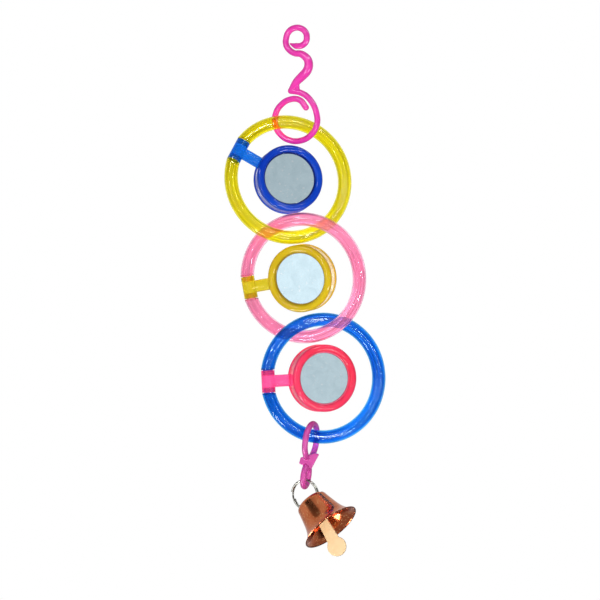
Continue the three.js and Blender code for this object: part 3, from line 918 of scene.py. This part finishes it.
bpy.ops.object.select_all(action="DESELECT")
bpy.ops.mesh.primitive_circle_add(
    vertices=16,
    radius=SPLIT_WIRE / 2,
    fill_type="NOTHING",
    location=(SPLIT_RADIUS, 0, -SPLIT_PITCH * SPLIT_TURNS / 2),
    rotation=(math.pi / 2, 0, 0),
    scale=SPLIT_FLATTENING,
)
split_ring = bpy.context.object
split_ring.name = "nickel_split_ring"
set_in_place(split_ring, split_ring.matrix_world.copy())
winding = split_ring.modifiers.new("winding", "SCREW")
winding.axis = "Z"
winding.angle = 2 * math.pi * SPLIT_TURNS
winding.screw_offset = SPLIT_PITCH * SPLIT_TURNS
winding.steps = SPLIT_STEPS
winding.render_steps = SPLIT_STEPS
apply_modifiers(split_ring)
bpy.ops.object.mode_set(mode="EDIT")
bpy.ops.mesh.select_all(action="SELECT")
bpy.ops.mesh.fill_holes(sides=0)
bpy.ops.mesh.select_all(action="SELECT")
bpy.ops.mesh.normals_make_consistent(inside=False)
bpy.ops.object.mode_set(mode="OBJECT")
smooth_skin(split_ring, sharpest=40)
ring_middle = Vector(joints["bell_swing"]["pos_m"])
ring_axis = Vector(joints["bell_swing"]["axis"]).normalized()
bell_up = (ring_middle - Vector(joints["clapper_swing"]["pos_m"])).normalized()
bell_lie = lie_of(ring_middle, bell_up.cross(ring_axis), bell_up, ring_axis)
set_in_place(split_ring, bell_lie @ Matrix.Rotation(SPLIT_START, 4, "Z"))


def plated_finish():
    """Bright plating with clouds of tarnish, fine rubbing marks and a little unevenness."""
    group, given, result = start_finish(
        "plated_finish",
        {
            "Colour": (0.7, 0.7, 0.7, 1),
            "Tarnish": (0.4, 0.4, 0.4, 1),
            "Cloud Size": 120.0,
            "Smoothest": 0.08,
            "Rubbing": 0.15,
        },
    )
    place = put(group, "TexCoord").outputs["Object"]
    cloud = put(group, "TexNoise", {"Vector": place, "Scale": given["Cloud Size"], "Detail": 4})
    patch = put(group, "MapRange", {"Value": cloud.outputs["Fac"], "From Min": 0.4, "From Max": 0.72})
    tint = put(
        group,
        "Mix",
        {"Factor": patch.outputs["Result"], "A": given["Colour"], "B": given["Tarnish"]},
        data_type="RGBA",
    )
    rub = put(group, "TexNoise", {"Vector": place, "Scale": 900, "Detail": 5})
    rougher = put(
        group,
        "Math",
        {0: rub.outputs["Fac"], 1: given["Rubbing"], 2: given["Smoothest"]},
        operation="MULTIPLY_ADD",
    )
    group.links.new(tint.outputs["Result"], result.inputs["Colour"])
    group.links.new(rougher.outputs["Value"], result.inputs["Roughness"])
    group.links.new(cloud.outputs["Fac"], result.inputs["Height"])
    return group


plating = plated_finish()


def plated_metal(name, colour, tarnish, cloud_size, smoothest, rubbing, unevenness):
    """A plated metal from its bright colour and the colour of its tarnish. Colours are linear."""
    values = {
        "Colour": (*colour, 1),
        "Tarnish": (*tarnish, 1),
        "Cloud Size": cloud_size,
        "Smoothest": smoothest,
        "Rubbing": rubbing,
    }
    material = finished(name, plating, values, unevenness)
    shader_of(material).inputs["Metallic"].default_value = 1
    return material


nickel = plated_metal(
    "ring_nickel",
    (0.32, 0.32, 0.29),
    (0.06, 0.056, 0.046),
    cloud_size=700,
    smoothest=0.26,
    rubbing=0.2,
    unevenness=0.35,
)
dress(split_ring, nickel, "key_ring", "ring_steel", "split_ring")


# Bell: a thin shell pressed from sheet metal and plated with bright copper, with a rolled lip at the
# mouth and two holes in its crown. The split ring goes in at one hole and out at the other.
BELL_HEIGHT = 16.8 * MM
BELL_MOUTH = 14.2 * MM
BELL_CROWN = 7.8 * MM
BELL_WALL = 0.8 * MM
SHOULDER_HEIGHT = 2.6 * MM
SHOULDER_WIDTH = 0.8 * SHOULDER_HEIGHT
CROWN_FALL = 0.08 * SHOULDER_HEIGHT
CROWN_RISE = (0.4 * BELL_CROWN, -0.02 * SHOULDER_HEIGHT)
CROWN_EDGE = (0.66 * BELL_CROWN, -0.05 * SHOULDER_HEIGHT)
FLARE_POWER = 5
# How high the painted shade reaches on the lip.
LIP_SHADE_BAND = 0.45 * BELL_WALL
CROWN_DROP = 3.5 * MM
CROWN_HOLE = 2.2 * MM
SHOULDER_STEPS = 6
FLARE_STEPS = 14
LIP_STEPS = 8


def shoulder(inset):
    """The rounded edge between the crown and the flare, so far inside the bell's outer skin."""
    points = []
    for i in range(1, SHOULDER_STEPS + 1):
        angle = math.pi / 2 * i / SHOULDER_STEPS
        radius = BELL_CROWN - inset - SHOULDER_WIDTH * (1 - math.sin(angle))
        fall = CROWN_FALL + (SHOULDER_HEIGHT - CROWN_FALL) * (1 - math.cos(angle))
        points.append((radius, -inset - fall))
    return points


flare = []
for i in range(1, FLARE_STEPS):
    share = i / FLARE_STEPS
    radius = BELL_CROWN + (BELL_MOUTH - BELL_CROWN) * (share + share**FLARE_POWER) / 2
    flare.append((radius, -SHOULDER_HEIGHT - (BELL_HEIGHT - SHOULDER_HEIGHT) * share))
lip = []
for i in range(LIP_STEPS + 1):
    angle = math.pi * i / LIP_STEPS
    radius = BELL_MOUTH - BELL_WALL / 2 * (1 - math.cos(angle))
    lip.append((radius, -BELL_HEIGHT + BELL_WALL / 2 * (1 - math.sin(angle))))
outside = [(0, 0), CROWN_RISE, CROWN_EDGE, *shoulder(0), *flare]
inside = [(0, -BELL_WALL), (CROWN_EDGE[0], CROWN_EDGE[1] - BELL_WALL), *shoulder(BELL_WALL)]
inside += [(radius - BELL_WALL, height) for radius, height in flare[2:]]
bell = turned(outside + lip + inside[::-1], steps=128)
bell.name = "copper_bell"
hole_reach = math.sqrt(SPLIT_RADIUS**2 - (CROWN_DROP + BELL_WALL / 2) ** 2)
for side in (-1, 1):
    bpy.ops.object.select_all(action="DESELECT")
    bpy.ops.mesh.primitive_cylinder_add(
        vertices=40,
        radius=CROWN_HOLE,
        depth=4 * BELL_WALL,
        location=(side * hole_reach, 0, -BELL_WALL / 2),
    )
    combine(bell, "DIFFERENCE", bpy.context.object)
smooth_skin(bell, sharpest=35)
# Masks for painted shade: the inside of the bell, and the bottom of its lip.
shaded_within = bell.data.attributes.new("shaded_within", "FLOAT", "POINT")
shaded_lip = bell.data.attributes.new("shaded_lip", "FLOAT", "POINT")
for vertex in bell.data.vertices:
    outward = vertex.normal.x * vertex.co.x + vertex.normal.y * vertex.co.y
    shaded_within.data[vertex.index].value = float(outward < 0 or vertex.normal.z < -0.8)
    shaded_lip.data[vertex.index].value = float(vertex.co.z < LIP_SHADE_BAND - BELL_HEIGHT)
stand_up = Matrix.Rotation(-math.pi / 2, 4, "X")
set_in_place(bell, bell_lie @ Matrix.Translation((0, -CROWN_DROP, 0)) @ stand_up)

copper = plated_metal(
    "bell_copper",
    (0.67, 0.19, 0.075),
    (0.52, 0.12, 0.04),
    cloud_size=170,
    smoothest=0.13,
    rubbing=0.06,
    unevenness=0.05,
)
copper_tree = copper.node_tree
# Painted shade: the inside of the bell is darkened.
tinted_where(copper, "shaded_within", (0.62, 0.52, 0.5))
# Painted shade: the bottom of the lip is darkened further; it is also made rougher.
lip_mask = tinted_where(copper, "shaded_lip", (0.3, 0.22, 0.2))
satin = put(copper_tree, "MapRange", {"Value": lip_mask, "To Max": 0.3})
roughness = shader_of(copper).inputs["Roughness"]
rubbed_values = {0: satin.outputs["Result"], 1: roughness.links[0].from_socket}
rubbed = put(copper_tree, "Math", rubbed_values, operation="MAXIMUM")
copper_tree.links.new(rubbed.outputs["Value"], roughness)
copper_place = put(copper_tree, "TexCoord").outputs["Object"]
grit = put(copper_tree, "TexNoise", {"Vector": copper_place, "Scale": 1500, "Detail": 2})
grit_values = {"Value": grit.outputs["Fac"], "From Min": 0.6, "From Max": 0.68, "To Max": 0.8}
bright_grit = put(copper_tree, "MapRange", grit_values)
colour_where(copper, bright_grit.outputs["Result"], (0.95, 0.5, 0.22))
dress(bell, copper, "bell", "bell_metal", "bell_shell")


# Clapper: a flat cream paddle, stamped from matte plastic, with a round end that shows below the bell.
# Its eye is turned a quarter round from the blade and hangs on the split ring inside the bell.
CLAPPER_LENGTH = 21.4 * MM
CLAPPER_END = 4.5 * MM
CLAPPER_NECK = 2.1 * MM
CLAPPER_FOOT = 2.9 * MM
CLAPPER_THICKNESS = 1.4 * MM
CLAPPER_EYE = 2.2 * MM
CLAPPER_RIM = 0.7 * MM
EYE_CHAMFER = 0.15 * MM
END_STEPS = 36

neck_top = -CLAPPER_EYE - CLAPPER_RIM / 2
spread = math.asin(CLAPPER_FOOT / CLAPPER_END)
paddle_line = [(-CLAPPER_NECK, neck_top)]
for i in range(END_STEPS + 1):
    angle = math.pi / 2 + spread + (2 * math.pi - 2 * spread) * i / END_STEPS
    paddle_line.append((CLAPPER_END * math.cos(angle), -CLAPPER_LENGTH + CLAPPER_END * math.sin(angle)))
paddle_line.append((CLAPPER_NECK, neck_top))
clapper = cut_out(paddle_line, CLAPPER_THICKNESS)
clapper.name = "cream_clapper"
soften_edges(clapper, 0.22 * MM, segments=3, sharpest=50)
apply_modifiers(clapper)
half_eye = CLAPPER_THICKNESS / 2
eye_outer = CLAPPER_EYE + CLAPPER_RIM
eye = turned(
    [
        (CLAPPER_EYE, -half_eye + EYE_CHAMFER),
        (CLAPPER_EYE + EYE_CHAMFER, -half_eye),
        (eye_outer - EYE_CHAMFER, -half_eye),
        (eye_outer, -half_eye + EYE_CHAMFER),
        (eye_outer, half_eye - EYE_CHAMFER),
        (eye_outer - EYE_CHAMFER, half_eye),
        (CLAPPER_EYE + EYE_CHAMFER, half_eye),
        (CLAPPER_EYE, half_eye - EYE_CHAMFER),
        (CLAPPER_EYE, -half_eye + EYE_CHAMFER),
    ],
    steps=48,
)
set_in_place(eye, Matrix.Rotation(math.pi / 2, 4, "Y"))
combine(clapper, "UNION", eye)
smooth_skin(clapper, sharpest=30)
eye_middle = Vector(joints["clapper_swing"]["pos_m"])
eye_line = Vector(joints["clapper_swing"]["axis"]).normalized()
clapper_up = eye_middle - surface_middle("clapper")
clapper_up = (clapper_up - clapper_up.dot(eye_line) * eye_line).normalized()
set_in_place(clapper, lie_of(eye_middle, eye_line, clapper_up, eye_line.cross(clapper_up)))
cream = plastic(
    "clapper_cream",
    (0.95, 0.68, 0.37),
    (0.9, 0.61, 0.3),
    cloud_size=220,
    smoothest=0.5,
    scuff=0.15,
    ripple=0.1,
)
dress(clapper, cream, "tongue", "clapper_plastic", "clapper")


# Studio: a pale floor well below the bell, which is clear from below, and a white backdrop. A grey room
# with pale and dark cards shows only in reflections. Two soft lamps light the piece, and narrow strips
# lay streaks on the plastic and the metal, with a round of them for the tubes alone.
FLOOR_DEPTH = -0.6
FLOOR_SIZE = 3.6
FLOOR_GLOW = 0.8
ROOM_GLOW = 0.2
ROOM_ON_MATTE = 0.65
# Where each card of the room faces, the cosines at its edge and where it is full, and its glow.
ROOM_CARDS = {
    "walls": ((0, 1, 0), -0.72, -0.2, 0.52),
    "left": ((-0.61, -0.78, -0.14), 0.82, 0.92, 0.83),
    "right": ((0.6, -0.78, 0.1), 0.925, 0.985, 0.575),
    "left door": ((-0.73, -0.37, 0.574), 0.91, 0.96, -0.5),
    "right door": ((0.9, -0.42, 0.1), 0.9, 0.97, -0.45),
}
VIEW_MIDDLE = Vector((0.00092, 0, -0.12052))
VIEW_WIDTH = 0.276
VIEW_DISTANCE = 3.5
SENSOR = 36
# The place, size and power of each lamp.
LAMPS = {
    "fill_lamp": ((0.0, -4.0, -0.4), (0.6, 0.6), 122.0),
    "rear_lamp": ((0.8, 4.0, 0.8), (1.5, 1.5), 90.0),
}
STRIPS = {
    "right_tall_strip": ((1.5, -3.71, -0.85), (0.12, 2.8), 60.0),
    "left_tall_strip": ((-1.7, -3.62, 0.1), (0.12, 4.0), 85.0),
    "upper_right_strip": ((1.25, -1.26, 1.75), (1.6, 0.3), 36.0),
    "upper_left_strip": ((-1.22, -1.87, 1.2), (0.7, 0.35), 22.0),
    "low_left_strip": ((-0.18, -0.12, -0.43), (0.2, 0.12), 2.4),
    "low_right_strip": ((0.47, -0.67, -0.5), (0.5, 0.1), 7.0),
}
ROUND_STRIPS = 20
ROUND_ANGLE = math.radians(38)
ROUND_DISTANCE = 4.5
ROUND_WIDTH = 0.4
ROUND_GLOW = 60.0
ROUND_UNEVENNESS = 0.4


def seen_straight(tree):
    """A mask of what is seen directly or through clear plastic, and not in a reflection."""
    ray = put(tree, "LightPath").outputs
    rays = {0: ray["Is Camera Ray"], 1: ray["Is Transmission Ray"]}
    return put(tree, "Math", rays, operation="MAXIMUM").outputs["Value"]


bpy.ops.object.select_all(action="DESELECT")
bpy.ops.mesh.primitive_plane_add(size=FLOOR_SIZE, location=(0, 0, FLOOR_DEPTH))
floor = bpy.context.object
floor.name = "floor"
floor_paint = new_material("floor_paint")
floor_tree = floor_paint.node_tree
floor_shader = shader_of(floor_paint)
floor_glow = put(floor_tree, "Math", {0: seen_straight(floor_tree), 1: FLOOR_GLOW}, operation="MULTIPLY")
feed(
    floor_tree,
    floor_shader,
    {
        "Base Color": (0.9, 0.9, 0.9, 1),
        "Roughness": 0.8,
        "Emission Color": (1, 1, 1, 1),
        "Emission Strength": floor_glow.outputs["Value"],
    },
)
from_below = put(floor_tree, "NewGeometry").outputs["Backfacing"]
clear = put(floor_tree, "BsdfTransparent").outputs["BSDF"]
end_in_either(floor_tree, from_below, floor_shader.outputs["BSDF"], clear)
floor.data.materials.append(floor_paint)

surround = bpy.data.worlds.new("surround")
surround.use_nodes = True
bpy.context.scene.world = surround
surround_tree = surround.node_tree
backdrop = surround_tree.nodes["Background"]
feed(surround_tree, backdrop, {"Color": (1, 1, 1, 1), "Strength": 1.0})
direction = put(surround_tree, "TexCoord").outputs["Generated"]
glow_so_far = ROOM_GLOW
for towards, edge, full, glow in ROOM_CARDS.values():
    towards = Vector(towards).normalized()
    facing = put(surround_tree, "VectorMath", {0: direction, 1: towards}, operation="DOT_PRODUCT")
    card = put(
        surround_tree,
        "MapRange",
        {"Value": facing.outputs["Value"], "From Min": edge, "From Max": full, "To Max": glow},
        interpolation_type="SMOOTHSTEP",
    )
    added = put(surround_tree, "Math", {0: glow_so_far, 1: card.outputs["Result"]}, operation="ADD")
    glow_so_far = added.outputs["Value"]
on_matte = put(surround_tree, "LightPath").outputs["Is Diffuse Ray"]
dimmer = put(surround_tree, "MapRange", {"Value": on_matte, "To Min": 1, "To Max": ROOM_ON_MATTE})
room_glow = put(surround_tree, "Math", {0: glow_so_far, 1: dimmer.outputs["Result"]}, operation="MULTIPLY")
room_values = {"Color": (0.95, 0.98, 1, 1), "Strength": room_glow.outputs["Value"]}
room = put(surround_tree, "Background", room_values)
end_in_either(
    surround_tree,
    seen_straight(surround_tree),
    room.outputs["Background"],
    backdrop.outputs["Background"],
    "World Output",
)

tubes = bpy.data.collections.new("tubes")
all_but_mirrors = bpy.data.collections.new("all_but_mirrors")
for piece in list(bpy.context.scene.objects):
    if piece.type != "MESH" or piece in frame["nodes"].values() or piece == floor:
        continue
    if piece.name.endswith("_ring_tube"):
        tubes.objects.link(piece)
    if not piece.name.endswith("_disc"):
        all_but_mirrors.objects.link(piece)


def hang_lamp(name, lie, size, power, streaks_on=None):
    """Hangs a flat lamp: a soft one that no reflection shows, or a strip that only lays streaks on
    the pieces of one collection."""
    lamp = bpy.data.lights.new(name, "AREA")
    lamp.shape = "RECTANGLE"
    lamp.size, lamp.size_y = size
    lamp.energy = power
    holder = bpy.data.objects.new(name, lamp)
    holder.matrix_world = lie
    holder.visible_diffuse = streaks_on is None
    holder.visible_glossy = streaks_on is not None
    holder.visible_transmission = False
    if streaks_on is not None:
        holder.light_linking.receiver_collection = streaks_on
    bpy.context.scene.collection.objects.link(holder)


def facing_chain(place):
    turn = (VIEW_MIDDLE - Vector(place)).to_track_quat("-Z", "Y")
    return Matrix.Translation(place) @ turn.to_matrix().to_4x4()


for name, (place, size, power) in LAMPS.items():
    hang_lamp(name, facing_chain(place), size, power)
for name, (place, size, power) in STRIPS.items():
    hang_lamp(name, facing_chain(place), size, power, streaks_on=all_but_mirrors)
round_radius = ROUND_DISTANCE * math.sin(ROUND_ANGLE)
round_length = 2 * round_radius * math.tan(math.pi / ROUND_STRIPS)
for i in range(ROUND_STRIPS):
    turn = 2 * math.pi * i / ROUND_STRIPS
    outward = Vector((math.cos(turn), 0, math.sin(turn))) * math.sin(ROUND_ANGLE)
    outward.y = -math.cos(ROUND_ANGLE)
    along = Vector((-math.sin(turn), 0, math.cos(turn)))
    lie = lie_of(VIEW_MIDDLE + ROUND_DISTANCE * outward, along, outward.cross(along), outward)
    share = 1 - ROUND_UNEVENNESS * (1 - math.sin(3 * turn + 1))
    power = share * ROUND_GLOW * math.pi * round_length * ROUND_WIDTH
    hang_lamp(f"round_strip_{i}", lie, (round_length, ROUND_WIDTH), power, streaks_on=tubes)

viewer = bpy.data.cameras.new("viewer")
viewer.sensor_width = SENSOR
viewer.lens = SENSOR * VIEW_DISTANCE / VIEW_WIDTH
viewer.clip_end = 50
camera = bpy.data.objects.new("viewer", viewer)
camera.location = VIEW_MIDDLE + Vector((0, -VIEW_DISTANCE, 0))
camera.rotation_euler = (math.pi / 2, 0, 0)
bpy.context.scene.collection.objects.link(camera)
bpy.context.scene.camera = camera
bpy.context.scene.view_settings.view_transform = "Standard"
